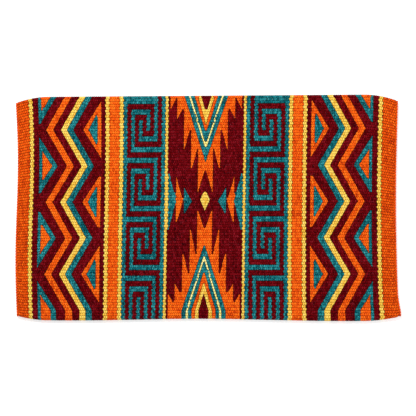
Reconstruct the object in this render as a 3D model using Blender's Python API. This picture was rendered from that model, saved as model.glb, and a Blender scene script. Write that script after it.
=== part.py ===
"""A handwoven wool saddle blanket, folded in half along its spine line.

The cloth is weft-faced tapestry. In each half one warp yarn runs to and fro along X, with its
loops beside a cord at both ends. Each area of colour is its own weft yarn, which covers both
faces of the cloth, hides the warp between them and turns from face to face between two runs of
the warp. The upper half lies on the lower one and turns on the fold, the horse's spine line.

Frame: X along the warp, Y from the fold to the selvages, Z up, origin under the middle.
Places across the warp are counted in ribs, one for each run of the warp, from the selvage.
All lengths are in metres.
"""

from math import pi

import bmesh
import bpy
from mathutils import Matrix, Vector

# The cloth
CLOTH_THICKNESS = 0.007
WARP_PITCH = 0.00604
WARP_DIAMETER = 0.0020
WEFT_TURN_WIDTH = 0.0015
RIBS = 83
SEAM_GAP = 0.0003

# The drawn-in ends
END_TAPER_LENGTH = 0.060
SELVAGE_DRAW_IN = 0.0135
FOLD_DRAW_IN = 0.011

# Widths of the bands along X, from an end to the middle
END_CORD_DIAMETER = 0.0045
END_BAND_WIDTH = 0.0205
OUTER_STRIPE_WIDTH = 0.0105
ZIGZAG_OUTER_GROUND = 0.0291
ZIGZAG_STRIPE_WIDTH = 0.0160
ZIGZAG_SWING = 0.0455
ZIGZAG_INNER_GROUND = 0.0243
YELLOW_STRIPE_WIDTH = 0.0092
ORANGE_STRIPE_WIDTH = 0.0252
FRET_COLUMN_WIDTH = 0.00868
FRET_EDGE_STRIPE_WIDTH = 0.0073
CENTRE_HALF_WIDTH = 0.0841

# The zigzag panel, in ribs across the warp
ZIGZAG_FIRST_APEX_RIBS = 12.5
ZIGZAG_HALF_PERIOD_RIBS = 13.5
PLAIN_RIBS_AT_FOLD = 3

# The triangles in the zigzag panel
OUTER_TRIANGLE_MARGIN = 0.0116
OUTER_TRIANGLE_TIP_GAP = 0.0216
OUTER_TRIANGLE_HALF_RIBS = 10.5
INNER_TRIANGLE_MARGIN = 0.0098
INNER_TRIANGLE_TIP_GAP = 0.0177
INNER_TRIANGLE_HALF_RIBS = 10.7

# The fret: a and b are its two hooked combs and m is the meander between them. The fold cuts
# off the last unit, where e is the start of its hooks.
FRET_UNIT = (
    "aaaaaaaaamb",
    "ammmmmmmamb",
    "ambbbbbmamb",
    "ambmmmbmamb",
    "ambmambmamb",
    "ambmambmamb",
    "ambmammmamb",
    "ambmaaaaamb",
    "ambmmmmmmmb",
    "ambbbbbbbbb",
    "ammmmmmmmmb",
)
FRET_CUT_ROW = "aeeeeeeeamb"
FRET_ROW_RIBS = 2
FRET_FIRST_RIBS = 1
FRET_UNITS = 3

# The centre panel. Shares across are of its half width, and shares along the weft are of the
# ribs from the selvage to the diamond's middle.
DIAMOND_MIDDLE_RIBS = 38.6
FIELD_EDGE_SHARE = 0.94
FIELD_SAW_SHARES = (
    (0.932, 0.111),
    (0.768, 0.031),
    (0.757, 0.205),
    (0.592, 0.122),
    (0.576, 0.508),
    (0.403, 0.313),
    (0.389, 0.702),
    (0.197, 0.521),
    (0.184, 0.909),
)
FIELD_NOTCH_SHARE = 0.736
CHEVRON_SHARES = (0.578, 0.619)
WEDGE_SHARES = (0.332, 0.358)
DIAMOND_SHARES = (0.128, 0.0964)

# The ribs after which the weft turns between its two faces, so that each weft is one piece
WEFT_TURN_RIBS = (4, 12, 26, 38, 52, 66, 78)

# How far a cutter passes the ends, and how finely round shapes are divided
OVERRUN = 0.002
FOLD_SIDES = 12
CORD_RESOLUTION = 2

# Colour and roughness
DYES = {
    "orange": ((0.77, 0.098, 0.0075), 0.92),
    "maroon": ((0.118, 0.0035, 0.0055), 0.92),
    "teal": ((0.004, 0.19, 0.235), 0.92),
    "yellow": ((0.81, 0.42, 0.048), 0.92),
    "end_cord": ((0.60, 0.068, 0.006), 0.94),
    "warp": ((0.26, 0.075, 0.03), 0.95),
}

# Places along X worked out from the widths above
ZIGZAG_STRIPES = 4
ZIGZAG_FIGURE_WIDTH = ZIGZAG_STRIPES * ZIGZAG_STRIPE_WIDTH + ZIGZAG_SWING
FRET_INNER = CENTRE_HALF_WIDTH + FRET_EDGE_STRIPE_WIDTH
FRET_OUTER = FRET_INNER + FRET_COLUMN_WIDTH * len(FRET_UNIT[0])
ORANGE_INNER = FRET_OUTER + YELLOW_STRIPE_WIDTH
ORANGE_OUTER = ORANGE_INNER + ORANGE_STRIPE_WIDTH
ZIGZAG_INNER = ORANGE_OUTER + YELLOW_STRIPE_WIDTH
ZIGZAG_OUTER = ZIGZAG_INNER + ZIGZAG_INNER_GROUND + ZIGZAG_FIGURE_WIDTH + ZIGZAG_OUTER_GROUND
BAND_INNER = ZIGZAG_OUTER + OUTER_STRIPE_WIDTH
BAND_OUTER = BAND_INNER + END_BAND_WIDTH
WARP_LOOP_X = BAND_OUTER + SEAM_GAP + WARP_DIAMETER / 2
HALF_LENGTH = WARP_LOOP_X + WARP_DIAMETER / 2 + SEAM_GAP + END_CORD_DIAMETER
TAPER_START = HALF_LENGTH - END_TAPER_LENGTH

# Places across the warp
FOLDED_DEPTH = RIBS * WARP_PITCH + CLOTH_THICKNESS
FOLD_Y = CLOTH_THICKNESS - FOLDED_DEPTH / 2
SELVAGE_Y = FOLDED_DEPTH / 2
LAST_APEX_RIBS = RIBS - PLAIN_RIBS_AT_FOLD

# The two halves, from their lower face to their upper one
FACING_Z = CLOTH_THICKNESS
LAYERS = {
    "lower": (0, FACING_Z - SEAM_GAP / 2),
    "upper": (FACING_Z + SEAM_GAP / 2, FACING_Z + CLOTH_THICKNESS),
}
WARP_SPACE_HEIGHT = WARP_DIAMETER + 2 * SEAM_GAP


def clear_scene():
    """Remove what the scene holds."""
    for thing in list(bpy.data.objects):
        bpy.data.objects.remove(thing, do_unlink=True)


def dyed_wool(name):
    """The plain wool material of one dye."""
    colour, roughness = DYES[name]
    wool = bpy.data.materials.new("wool_" + name)
    wool.use_nodes = True
    shader = wool.node_tree.nodes["Principled BSDF"]
    shader.inputs["Base Color"].default_value = (*colour, 1)
    shader.inputs["Roughness"].default_value = roughness
    shader.inputs["Metallic"].default_value = 0
    return wool


def on_cloth(x, rib):
    """Where a point of the pattern lies in the folded cloth, whose ends are drawn in."""
    taper = max(0, abs(x) - TAPER_START) / END_TAPER_LENGTH
    fold = FOLD_Y + FOLD_DRAW_IN * taper
    selvage = SELVAGE_Y - SELVAGE_DRAW_IN * taper
    return Vector((x, selvage + (fold - selvage) * rib / RIBS))


def signed_area(loop):
    """The area of a loop, positive where it runs anticlockwise."""
    return sum(a.x * b.y - b.x * a.y for a, b in zip(loop, loop[1:] + loop[:1])) / 2


def inset(loop, amount):
    """A loop with every side moved to its left, so that a weft clears the next one."""
    moved = []
    for before, here, after in zip(loop[-1:] + loop[:-1], loop, loop[1:] + loop[:1]):
        sides = (here - before).normalized(), (after - here).normalized()
        corner = sides[0].orthogonal() + sides[1].orthogonal()
        moved.append(here + corner * (2 * amount / corner.length_squared))
    return moved


def laid(outline, hole=False):
    """An outline of the pattern laid on the cloth and set back by half the gap between wefts."""
    loop = [on_cloth(x, rib) for x, rib in outline]
    if (signed_area(loop) < 0) != hole:
        loop.reverse()
    return inset(loop, SEAM_GAP / 2)


def mirrored(outlines, side):
    """Outlines on one side of the middle, where side is 1 or -1."""
    return [[(side * x, rib) for x, rib in outline] for outline in outlines]


def stripe(inner, outer):
    """A straight stripe from the selvage to the fold."""
    return [(inner, 0), (outer, 0), (outer, RIBS), (inner, RIBS)]


def swing(rib):
    """How far the zigzag has swung towards the middle at a rib, from 0 to 1."""
    steps = (min(rib, LAST_APEX_RIBS) - ZIGZAG_FIRST_APEX_RIBS) / ZIGZAG_HALF_PERIOD_RIBS
    return 1 - abs(steps % 2 - 1)


def apex_ribs(first):
    """The ribs of every second apex, up to the plain ribs at the fold."""
    count = int((LAST_APEX_RIBS - first) // (2 * ZIGZAG_HALF_PERIOD_RIBS)) + 1
    return [first + 2 * ZIGZAG_HALF_PERIOD_RIBS * number for number in range(count)]


OUTWARD_APEXES = apex_ribs(ZIGZAG_FIRST_APEX_RIBS)
INWARD_APEXES = apex_ribs(ZIGZAG_FIRST_APEX_RIBS + ZIGZAG_HALF_PERIOD_RIBS)


def zigzag_line(number):
    """An edge of the zigzag from the selvage to the fold, counted from the outer ground."""
    start = ZIGZAG_OUTER - ZIGZAG_OUTER_GROUND - ZIGZAG_STRIPE_WIDTH * number
    ribs = [0, *sorted(OUTWARD_APEXES + INWARD_APEXES), RIBS]
    return [(start - ZIGZAG_SWING * swing(rib), rib) for rib in ribs]


def triangle(base, tip, middle, half_ribs):
    """A triangle with its base along the weft and its tip along the warp."""
    return [(base, middle - half_ribs), (tip, middle), (base, middle + half_ribs)]


def zigzag_panel():
    """The wefts of the zigzag panel, where X is positive."""
    edges = [zigzag_line(number) for number in range(ZIGZAG_STRIPES + 1)]
    base = ZIGZAG_OUTER - OUTER_TRIANGLE_MARGIN
    tip = ZIGZAG_OUTER - ZIGZAG_OUTER_GROUND - ZIGZAG_SWING + OUTER_TRIANGLE_TIP_GAP
    whole = [rib for rib in INWARD_APEXES if rib + OUTER_TRIANGLE_HALF_RIBS < LAST_APEX_RIBS]
    outer = [triangle(base, tip, rib, OUTER_TRIANGLE_HALF_RIBS) for rib in whole]
    base = ZIGZAG_INNER + INNER_TRIANGLE_MARGIN
    tip = ZIGZAG_INNER + ZIGZAG_INNER_GROUND + ZIGZAG_SWING - INNER_TRIANGLE_TIP_GAP
    inner = [triangle(base, tip, rib, INNER_TRIANGLE_HALF_RIBS) for rib in OUTWARD_APEXES]

    wefts = {
        "zigzag_outer_ground": ("maroon", [[(ZIGZAG_OUTER, RIBS), (ZIGZAG_OUTER, 0), *edges[0]], *outer]),
        "zigzag_inner_ground": ("maroon", [[*edges[-1], (ZIGZAG_INNER, RIBS), (ZIGZAG_INNER, 0)], *inner]),
    }
    for number, dye in enumerate(("orange", "maroon", "yellow", "teal")):
        wefts["zigzag_" + dye] = (dye, [edges[number] + edges[number + 1][::-1]])
    for number, outline in enumerate(outer, 1):
        wefts[f"outer_triangle_{number}"] = ("teal", [outline])
    for number, outline in enumerate(inner, 1):
        wefts[f"inner_triangle_{number}"] = ("orange", [outline])
    return wefts


def fret_rows():
    """The rows of the fret from the selvage to the fold, each with the ribs that it takes."""
    rows = [(FRET_UNIT[-1], FRET_FIRST_RIBS)]
    rows += [(row, FRET_ROW_RIBS) for row in FRET_UNIT] * FRET_UNITS
    rows.append((FRET_UNIT[0], FRET_ROW_RIBS))
    rows.append((FRET_CUT_ROW, RIBS - sum(ribs for _, ribs in rows)))
    return rows


def traced(cells):
    """The outline round a connected set of cells, as its corners (column, row)."""
    step = {}
    for column, row in cells:
        corners = [(column, row), (column + 1, row), (column + 1, row + 1), (column, row + 1)]
        beside = [(column, row - 1), (column + 1, row), (column, row + 1), (column - 1, row)]
        for start, end, other in zip(corners, corners[1:] + corners[:1], beside):
            if other not in cells:
                step[start] = end
    outline = [min(step)]
    while step[outline[-1]] != outline[0]:
        outline.append(step[outline[-1]])
    around = zip(outline[-1:] + outline[:-1], outline, outline[1:] + outline[:1])
    return [here for before, here, after in around if before[0] != after[0] and before[1] != after[1]]


def fret_panel():
    """The combs of the fret, the meander between them and the cut hooks, where X is positive."""
    rows = fret_rows()
    lines = [0]
    for _, ribs in rows:
        lines.append(lines[-1] + ribs)
    wefts = {}
    for letter, name, dye in (
        ("a", "fret_outer_comb", "teal"),
        ("b", "fret_inner_comb", "teal"),
        ("m", "fret_meander", "maroon"),
        ("e", "fret_cut_hooks", "maroon"),
    ):
        cells = {(c, r) for r, (row, _) in enumerate(rows) for c in range(len(row)) if row[c] == letter}
        outline = [(FRET_OUTER - FRET_COLUMN_WIDTH * c, lines[r]) for c, r in traced(cells)]
        wefts[name] = (dye, [outline])
    return wefts


def side_wefts():
    """The wefts between the centre panel and an end, where X is positive."""
    return {
        "end_band": ("orange", [stripe(BAND_INNER, BAND_OUTER)]),
        "end_yellow_stripe": ("yellow", [stripe(ZIGZAG_OUTER, BAND_INNER)]),
        **zigzag_panel(),
        "zigzag_yellow_stripe": ("yellow", [stripe(ORANGE_OUTER, ZIGZAG_INNER)]),
        "orange_stripe": ("orange", [stripe(ORANGE_INNER, ORANGE_OUTER)]),
        "fret_yellow_stripe": ("yellow", [stripe(FRET_OUTER, ORANGE_INNER)]),
        **fret_panel(),
        "centre_yellow_stripe": ("yellow", [stripe(CENTRE_HALF_WIDTH, FRET_INNER)]),
    }


def centre_point(across, along):
    """A point of the centre panel from its shares, on the selvage's side of the diamond."""
    return across * CENTRE_HALF_WIDTH, along * DIAMOND_MIDDLE_RIBS


def both_sides(half):
    """A path on both sides of the middle, from its part where X is positive."""
    return half + [(-x, rib) for x, rib in half[::-1] if x > 0]


def saw_paths():
    """The serrated edges of the orange fields at the selvage and at the fold."""
    points = [centre_point(*shares) for shares in FIELD_SAW_SHARES]
    points.append(centre_point(0, FIELD_NOTCH_SHARE))
    edge = FIELD_EDGE_SHARE * CENTRE_HALF_WIDTH
    turned = [(x, 2 * DIAMOND_MIDDLE_RIBS - rib) for x, rib in points]
    return both_sides([(edge, 0), *points]), both_sides([(edge, RIBS), *turned])


def chevron_paths(shares):
    """One edge of the chevrons at the selvage and at the fold."""
    x, depth = centre_point(*shares)
    at_fold = [(x, RIBS), (x, LAST_APEX_RIBS), (0, LAST_APEX_RIBS - depth)]
    return both_sides([(x, 0), (0, depth)]), both_sides(at_fold)


def centre_wefts():
    """The wefts of the centre panel."""
    saws = saw_paths()
    x, half_ribs = centre_point(*DIAMOND_SHARES)
    diamond = [
        (x, DIAMOND_MIDDLE_RIBS),
        (0, DIAMOND_MIDDLE_RIBS - half_ribs),
        (-x, DIAMOND_MIDDLE_RIBS),
        (0, DIAMOND_MIDDLE_RIBS + half_ribs),
    ]
    edge = CENTRE_HALF_WIDTH
    ground = [(edge, RIBS), (edge, 0), *saws[0], (-edge, 0), (-edge, RIBS), *saws[1][::-1]]
    wefts = {"centre_ground": ("maroon", [ground, diamond]), "diamond": ("yellow", [diamond])}
    for place, saw, chevron, wedge in zip(
        ("selvage", "fold"), saws, chevron_paths(CHEVRON_SHARES), chevron_paths(WEDGE_SHARES)
    ):
        wefts[place + "_field"] = ("orange", [saw + chevron[::-1]])
        wefts[place + "_chevron"] = ("teal", [chevron + wedge[::-1]])
        wefts[place + "_wedge"] = ("orange", [wedge])
    return wefts


def lower_wefts():
    """The panels of the lower half, whose wefts are taken together."""
    edge = CENTRE_HALF_WIDTH
    return {
        "left_panel": ("teal", [stripe(-BAND_OUTER, -edge)]),
        "centre_panel": ("maroon", [stripe(-edge, edge)]),
        "right_panel": ("teal", [stripe(edge, BAND_OUTER)]),
    }


def upper_wefts():
    """Every weft of the upper half."""
    wefts = {}
    for word, side in (("left", -1), ("right", 1)):
        for name, (dye, outlines) in side_wefts().items():
            wefts[f"{word}_{name}"] = (dye, mirrored(outlines, side))
    return {**wefts, **centre_wefts()}


def filled(name, loops, thickness):
    """A closed flat mesh from an outline and its holes, with its middle at Z 0."""
    outline = bpy.data.curves.new(name, "CURVE")
    outline.dimensions = "2D"
    outline.fill_mode = "BOTH"
    outline.extrude = thickness / 2
    for loop in loops:
        spline = outline.splines.new("POLY")
        spline.points.add(len(loop) - 1)
        spline.use_cyclic_u = True
        for point, place in zip(spline.points, loop):
            point.co = (place.x, place.y, 0, 1)
    return as_mesh(outline)


def as_mesh(curve):
    """The mesh of a curve with its caps welded to its sides. The curve is removed."""
    holder = bpy.data.objects.new(curve.name, curve)
    bpy.context.scene.collection.objects.link(holder)
    shape = bpy.data.meshes.new_from_object(holder.evaluated_get(bpy.context.evaluated_depsgraph_get()))
    bpy.data.objects.remove(holder)
    bpy.data.curves.remove(curve)
    welded = bmesh.new()
    welded.from_mesh(shape)
    bmesh.ops.remove_doubles(welded, verts=welded.verts, dist=SEAM_GAP / 30)
    bmesh.ops.recalc_face_normals(welded, faces=welded.faces)
    welded.to_mesh(shape)
    welded.free()
    return shape


def tube(name, route, diameter, resolution):
    """A closed tube along a route."""
    line = bpy.data.curves.new(name, "CURVE")
    line.dimensions = "3D"
    line.twist_mode = "Z_UP"
    line.bevel_depth = diameter / 2
    line.bevel_resolution = resolution
    line.use_fill_caps = True
    spline = line.splines.new("POLY")
    spline.points.add(len(route) - 1)
    for point, place in zip(spline.points, route):
        point.co = (place.x, place.y, 0, 1)
    return as_mesh(line)


class Workshop:
    """Where the pieces are made, with the materials and the two halves that they hang from."""

    def __init__(self):
        self.parts = self.collection("saddle_blanket")
        self.cutters = self.collection("cutters")
        self.wool = {name: dyed_wool(name) for name in DYES}
        self.halves = {
            "lower": self.half("lower_half", Vector((0, 0, 0))),
            "upper": self.half("upper_half", Vector((0, FOLD_Y, FACING_Z))),
        }
        self.warp_spaces = {half: self.warp_space(half) for half in LAYERS}

    def collection(self, name):
        """A new collection in the scene."""
        made = bpy.data.collections.new(name)
        bpy.context.scene.collection.children.link(made)
        return made

    def half(self, name, place):
        """An empty that carries one half. The upper half's stands on the fold's axis."""
        empty = bpy.data.objects.new(name, None)
        empty.location = place
        self.parts.objects.link(empty)
        return empty

    def add(self, shape, dye, half, height):
        """Make a piece's object from a mesh at its place in X and Y, lifted to a height."""
        shape.materials.append(self.wool[dye])
        piece = bpy.data.objects.new(shape.name, shape)
        piece.parent = self.halves[half]
        piece.location = Vector((0, 0, height)) - self.halves[half].location
        self.parts.objects.link(piece)
        return piece

    def warp_space(self, half):
        """A cutter for the space of the warp between the faces, left out where the weft turns."""
        reach = HALF_LENGTH + OVERRUN
        bends = [-reach, -TAPER_START, TAPER_START, reach]
        turn = WEFT_TURN_WIDTH / WARP_PITCH / 2
        stops = [0, *WEFT_TURN_RIBS, RIBS]
        loops = []
        for start, end in zip(stops, stops[1:]):
            near = [on_cloth(x, start + turn) for x in bends]
            far = [on_cloth(x, end - turn) for x in bends]
            loops.append(far + near[::-1])
        shape = filled(half + "_warp_space", loops, WARP_SPACE_HEIGHT)
        space = bpy.data.objects.new(shape.name, shape)
        space.location.z = sum(LAYERS[half]) / 2
        space.hide_render = True
        space.display_type = "WIRE"
        self.cutters.objects.link(space)
        return space

    def weft(self, name, outlines, dye, half):
        """One weft: its outline and holes filled to the cloth's thickness, over its warp."""
        low, high = LAYERS[half]
        loops = [laid(outlines[0])] + [laid(hole, hole=True) for hole in outlines[1:]]
        piece = self.add(filled(f"{half}_{name}", loops, high - low), dye, half, (low + high) / 2)
        cut = piece.modifiers.new("warp_space", "BOOLEAN")
        cut.operation = "DIFFERENCE"
        cut.solver = "EXACT"
        cut.object = self.warp_spaces[half]

    def warp(self, half):
        """The warp of one half: along each rib in turn, with a loop beyond each end band."""
        bends = [-WARP_LOOP_X, -TAPER_START, TAPER_START, WARP_LOOP_X]
        route = []
        for run in range(RIBS):
            route += [on_cloth(x, run + 1 / 2) for x in bends]
            bends.reverse()
        self.add(tube(half + "_warp", route, WARP_DIAMETER, 0), "warp", half, sum(LAYERS[half]) / 2)

    def end_cord(self, word, side, half):
        """The cord along the loops of the warp at one end."""
        x = side * (HALF_LENGTH - END_CORD_DIAMETER / 2)
        route = [on_cloth(x, 0), on_cloth(x, RIBS - 1 / 2)]
        shape = tube(f"{half}_{word}_end_cord", route, END_CORD_DIAMETER - SEAM_GAP, CORD_RESOLUTION)
        self.add(shape, "end_cord", half, sum(LAYERS[half]) / 2)

    def fold_turn(self):
        """The half-round turn of the cloth over the fold, following the drawn-in ends."""
        turn = bmesh.new()
        radius = CLOTH_THICKNESS - SEAM_GAP / 2
        bmesh.ops.create_cone(
            turn,
            cap_ends=True,
            segments=FOLD_SIDES,
            radius1=radius,
            radius2=radius,
            depth=2 * HALF_LENGTH - SEAM_GAP,
            matrix=Matrix.Rotation(pi / 2, 4, "Y"),
        )
        rim = slice_across(turn, (0, -SEAM_GAP / 2, 0), (0, 1, 0), clear=True)
        bmesh.ops.edgeloop_fill(turn, edges=rim)
        for x in (-TAPER_START, TAPER_START):
            slice_across(turn, (x, 0, 0), (1, 0, 0), clear=False)
        for vert in turn.verts:
            vert.co.y += on_cloth(vert.co.x, RIBS).y
        shape = bpy.data.meshes.new("fold_turn")
        turn.to_mesh(shape)
        turn.free()
        self.add(shape, "maroon", "lower", FACING_Z)


def slice_across(shape, place, normal, clear):
    """Cut a shape along a plane, clear what lies before it if asked, and give the cut's edges."""
    cut = bmesh.ops.bisect_plane(
        shape,
        geom=[*shape.verts, *shape.edges, *shape.faces],
        plane_co=place,
        plane_no=normal,
        clear_outer=clear,
    )["geom_cut"]
    return [item for item in cut if isinstance(item, bmesh.types.BMEdge)]


def make_blanket():
    """Build every piece of the blanket."""
    shop = Workshop()
    for half, wefts in (("upper", upper_wefts()), ("lower", lower_wefts())):
        for name, (dye, outlines) in wefts.items():
            shop.weft(name, outlines, dye, half)
        shop.warp(half)
        shop.end_cord("left", -1, half)
        shop.end_cord("right", 1, half)
    shop.fold_turn()


clear_scene()
make_blanket()
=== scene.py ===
"""The looks of a handwoven wool saddle blanket, folded in half along its spine line.

The cloth is weft-faced tapestry, so what shows is weft alone. Each area of colour is its own
piece, woven float by float: a float is the short length of weft that passes over one run of
the warp and dives between it and the next. Places are counted in picks along the warp, from
the middle of the blanket, and in ribs across it, from the selvage to the fold. Lengths are in
metres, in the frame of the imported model.
"""

import logging
import math
from collections.abc import Iterable
from dataclasses import dataclass
from enum import Enum

import bpy
import numpy as np
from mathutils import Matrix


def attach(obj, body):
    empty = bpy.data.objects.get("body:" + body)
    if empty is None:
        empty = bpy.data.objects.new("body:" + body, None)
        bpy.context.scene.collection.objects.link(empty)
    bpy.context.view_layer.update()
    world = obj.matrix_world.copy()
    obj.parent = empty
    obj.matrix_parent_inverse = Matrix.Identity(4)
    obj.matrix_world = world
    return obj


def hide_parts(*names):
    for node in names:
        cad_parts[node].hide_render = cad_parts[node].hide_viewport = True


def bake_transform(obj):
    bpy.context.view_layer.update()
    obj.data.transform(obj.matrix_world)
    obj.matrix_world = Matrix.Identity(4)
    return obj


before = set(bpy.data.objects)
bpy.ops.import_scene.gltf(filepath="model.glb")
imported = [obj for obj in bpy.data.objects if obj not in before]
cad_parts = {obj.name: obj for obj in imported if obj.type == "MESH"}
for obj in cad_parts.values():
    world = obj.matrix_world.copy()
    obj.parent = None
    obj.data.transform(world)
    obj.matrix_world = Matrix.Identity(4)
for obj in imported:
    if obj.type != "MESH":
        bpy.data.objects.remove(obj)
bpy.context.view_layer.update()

Triple = tuple[float, float, float]
TILTED_UP: Triple = (0.12, 0.05, 1.0)
log = logging.getLogger("saddle_blanket")


class Dye(Enum):
    """The dyed yarns of the blanket."""

    ORANGE = "orange"
    RUST = "rust"
    MAROON = "maroon"
    TEAL = "teal"
    YELLOW = "yellow"
    PALE = "pale"
    WARP = "warp"


class Bed(Enum):
    """Where cloth is woven: on either half of the folded blanket, or on the turn over its fold."""

    LOWER = "lower"
    UPPER = "upper"
    TURN = "fold_turn"


class Side(Enum):
    """The two sides of the blanket's middle, with the sign of their X."""

    LEFT = -1
    RIGHT = 1

    @property
    def word(self) -> str:
        """The side's name in the names of pieces."""
        return self.name.lower()


@dataclass(frozen=True)
class Area:
    """One colour area of the pattern, without the name of its half."""

    name: str
    dye: Dye
    node: str


def on_side(side: Side, name: str, dye: Dye, node: str = "") -> Area:
    """An area beside the centre panel.

    Args:
        side: The side of the middle that it is on.
        name: Its name without the side.
        dye: Its yarn.
        node: The CAD node that it stands for, if that has another name.

    Returns:
        The area.
    """
    return Area(f"{side.word}_{name}", dye, f"{side.word}_{node or name}")


@dataclass(frozen=True)
class Wedge:
    """A triangle with its base along the weft, in picks and ribs."""

    base: float
    reach: float
    half_ribs: float

    def holds(self, picks: float, ribs_off: float) -> bool:
        """Whether a place lies in the triangle.

        Args:
            picks: The place's distance on the side that the base is measured from.
            ribs_off: Its distance from the triangle's middle, across the warp.

        Returns:
            True inside.
        """
        full = 1 - abs(ribs_off) / self.half_ribs
        return full > 0 and 0 <= picks - self.base <= self.reach * full


@dataclass(frozen=True)
class ZigzagPanel:
    """The panel between an end band and the wide orange stripe, in picks from its outer edge."""

    width: int = 71
    outer_ground: float = 12.2
    stripes: tuple[tuple[Dye, float], ...] = (
        (Dye.ORANGE, 7.2),
        (Dye.MAROON, 7.3),
        (Dye.YELLOW, 6.1),
        (Dye.TEAL, 6.4),
    )
    swing: float = 20.6
    first_apex: float = 12.5
    half_period: float = 13.5
    last_apex: float = 80.0
    selvage_shift: float = 0.8
    outer_triangle: Wedge = Wedge(5.3, 18.4, 11.1)
    outer_middle: Wedge = Wedge(8.4, 10.0, 5.7)
    inner_triangle: Wedge = Wedge(3.9, 18.4, 10.9)
    inner_middle: Wedge = Wedge(7.7, 9.1, 6.4)

    def swung(self, rib: float) -> float:
        """How far the zigzag has swung towards the middle at a rib, from 0 to 1."""
        steps = (min(rib, self.last_apex) - self.first_apex) / self.half_period
        return 1 - abs(steps % 2 - 1)

    def nearest(self, rib: float, first: float) -> tuple[int, float]:
        """The nearest of every second apex.

        Args:
            rib: A place across the warp.
            first: The rib of the first of these apexes.

        Returns:
            The apex's number and the place's distance from it in ribs.
        """
        rib = min(rib, self.last_apex)
        number = round((rib - first) / (2 * self.half_period))
        return number, rib - first - number * 2 * self.half_period

    def area(self, side: Side, depth: float, rib: float) -> Area:
        """The area at a place.

        Args:
            side: The side of the middle.
            depth: Picks from the panel's outer edge.
            rib: Ribs from the selvage.

        Returns:
            The area.
        """
        left = depth - self.outer_ground - self.swing * self.swung(rib)
        if left < 0:
            return self.outer(side, depth, rib)
        for dye, width in self.stripes:
            if left < width:
                return on_side(side, f"zigzag_{dye.value}", dye)
            left -= width
        return self.inner(side, self.width - depth, rib)

    def outer(self, side: Side, depth: float, rib: float) -> Area:
        """The area at a place in the outer ground, as area() gives it."""
        number, off = self.nearest(rib, self.first_apex - self.half_period)
        off -= 0 if number else self.selvage_shift
        if not self.outer_triangle.holds(depth, off):
            return on_side(side, "zigzag_outer_ground", Dye.MAROON)
        cut = {0: "selvage", 3: "fold"}.get(number)
        name = f"outer_triangle_{cut or number}"
        node = "zigzag_outer_ground" if cut else name
        if self.outer_middle.holds(depth, off):
            return on_side(side, name + "_middle", Dye.ORANGE, node)
        return on_side(side, name, Dye.TEAL, node)

    def inner(self, side: Side, depth: float, rib: float) -> Area:
        """The area at a place in the inner ground, with picks from the panel's inner edge."""
        number, off = self.nearest(rib, self.first_apex)
        if not self.inner_triangle.holds(depth, off):
            return on_side(side, "zigzag_inner_ground", Dye.MAROON)
        name = f"inner_triangle_{number + 1}"
        if self.inner_middle.holds(depth, off):
            return on_side(side, name + "_middle", Dye.TEAL, name)
        return on_side(side, name, Dye.ORANGE)


@dataclass(frozen=True)
class FretPanel:
    """Two hooked combs, a and b, and the meander m between them, in cells of picks and ribs.

    In the last unit, which the fold cuts off, h, n and s are parts that no longer meet the rest.
    """

    unit: tuple[str, ...] = (
        "aaaaaaaaamb",
        "ammmmmmmamb",
        "ambbbbbmamb",
        "ambmmmbmamb",
        "ambmambmamb",
        "ambmambmamb",
        "ambmammmamb",
        "ambmaaaaamb",
        "ambmmmmmmmb",
        "ambbbbbbbbb",
        "ammmmmmmmmb",
    )
    cut_unit: tuple[str, ...] = (
        "aaaaaaaaamb",
        "ammmmmmmamb",
        "amhhhhhmamb",
        "amhnnnhmamb",
        "amhnsnhmamb",
    )
    units: int = 3
    cell_picks: int = 4
    cell_ribs: int = 2

    @property
    def width(self) -> int:
        """The panel's width in picks."""
        return self.cell_picks * len(self.unit[0])

    def area(self, side: Side, depth: float, rib: float) -> Area:
        """The area at a place.

        Args:
            side: The side of the middle.
            depth: Picks from the panel's outer edge.
            rib: Ribs from the selvage.

        Returns:
            The area.
        """
        column = min(int(depth // self.cell_picks), len(self.unit[0]) - 1)
        row = max(int((rib + 1) // self.cell_ribs) - 1, 0)
        cut = row - self.units * len(self.unit)
        if cut < 0:
            return self.strand(side, self.unit[row % len(self.unit)][column])
        return self.strand(side, self.cut_unit[min(cut, len(self.cut_unit) - 1)][column])

    def strand(self, side: Side, letter: str) -> Area:
        """The area that a letter of the unit stands for.

        Args:
            side: The side of the middle.
            letter: The letter.

        Returns:
            The area.
        """
        name, dye = {
            "a": ("outer_comb", Dye.TEAL),
            "b": ("inner_comb", Dye.TEAL),
            "m": ("meander", Dye.MAROON),
            "h": ("cut_hook", Dye.TEAL),
            "n": ("cut_meander", Dye.MAROON),
            "s": ("cut_strand", Dye.TEAL),
        }[letter]
        return on_side(side, f"fret_{name}", dye, "fret_cut_hooks" if name.startswith("cut") else "")


@dataclass(frozen=True)
class Tooth:
    """One tooth of an orange field's serrated edge: its outer side, and the depth of its edge."""

    outer: float
    notch_ribs: float
    tip_ribs: float


@dataclass(frozen=True)
class Layer:
    """One layer of a chevron, by its half width where its field starts."""

    name: str
    node: str
    dye: Dye
    half_width: float


@dataclass(frozen=True)
class Field:
    """One serrated orange field, by its teeth and the depths of the layers of its chevron."""

    place: str
    teeth: tuple[Tooth, ...]
    depths: tuple[float, ...]


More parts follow.
